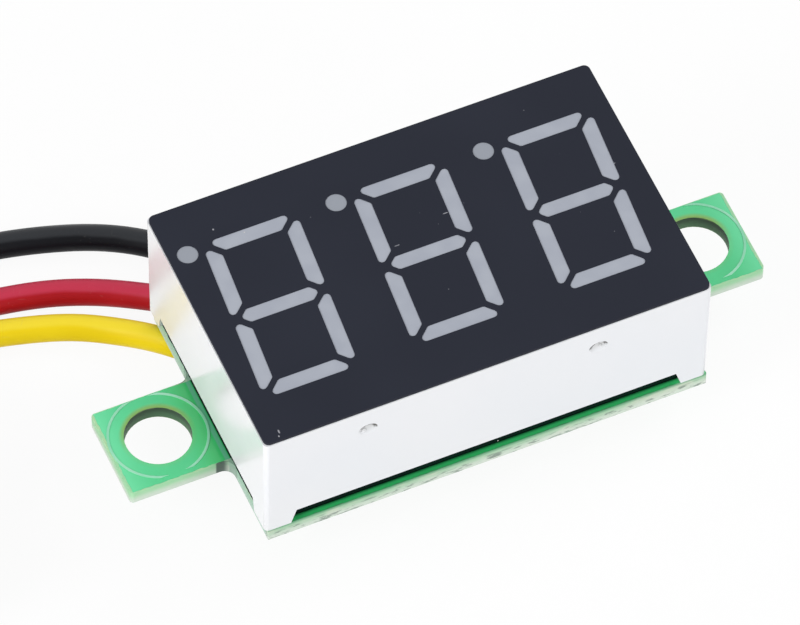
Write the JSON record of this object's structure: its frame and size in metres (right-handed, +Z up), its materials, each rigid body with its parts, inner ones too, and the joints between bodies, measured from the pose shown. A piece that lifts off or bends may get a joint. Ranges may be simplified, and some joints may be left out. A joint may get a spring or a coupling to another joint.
{
  "type": "digital panel meter",
  "caption": "LED panel voltmeter: a seven-segment display on a slim circuit board with a mounting ear at each end, wired by leads soldered underneath.",
  "frame": {"origin": "on the surface that the meter stands on, under the middle of the display", "axes": "+Z up out of the display's face; +X along the ears, away from the end where the leads come out; +Y across the board, towards the side that the leads leave under, which is the digits' lower side"},
  "size_m": [0.0581, 0.0223, 0.0099],
  "materials": {
    "solder_mask": "glossy green solder mask over glass laminate, pale cut edges",
    "white_ink": "printed ink line",
    "white_plastic": "moulded, semi-gloss",
    "black_film": "satin printed film with small pale scuffs",
    "grey_resin": "satin diffusing resin",
    "bare_laminate": "glass laminate",
    "die": "polished chip",
    "potting": "cast resin",
    "tinned_metal": "bright tin plate",
    "solder": "smooth solder",
    "package_black": "moulded epoxy",
    "resistor_glaze": "dark glaze over white ceramic",
    "capacitor_ceramic": "fired ceramic",
    "trimmer_plastic": "moulded",
    "rotor_metal": "stamped, satin",
    "black_insulation": "extruded, semi-gloss",
    "red_insulation": "extruded, semi-gloss",
    "yellow_insulation": "extruded, semi-gloss",
    "tie_plastic": "smooth"
  },
  "bodies": {
    "meter": {"circuit_board": "solder_mask", "silkscreen_rings": "white_ink", "display_housing": "white_plastic", "face_film": "black_film", "segment_resin": "grey_resin", "die_board": "bare_laminate", "light_dies": "die", "back_potting": "potting", "display_pins": "tinned_metal", "pin_solder": "solder", "controller_body": "package_black", "controller_leads": "tinned_metal", "regulator_body": "package_black", "regulator_leads": "tinned_metal", "diode_body": "package_black", "diode_leads": "tinned_metal", "resistor_bodies": "resistor_glaze", "capacitor_bodies": "capacitor_ceramic", "chip_terminals": "solder", "trimmer_base": "trimmer_plastic", "trimmer_terminals": "tinned_metal", "lead_pads": "solder", "lead_solder": "solder", "black_lead": "black_insulation", "red_lead": "red_insulation", "yellow_lead": "yellow_insulation", "black_lead_coil": "black_insulation", "red_lead_coil": "red_insulation", "yellow_lead_coil": "yellow_insulation", "lead_ends": "tinned_metal", "coil_tie": "tie_plastic"},
    "trimmer_wiper": {"trimmer_rotor": "rotor_metal"}
  },
  "joints": [
    {"name": "trimmer_turn", "type": "hinge", "parent": "meter", "child": "trimmer_wiper", "pos_m": [0.0083, 0.0009, 0.00105], "axis": [0, 0, -1], "range_deg": [-130, 130]}
  ]
}
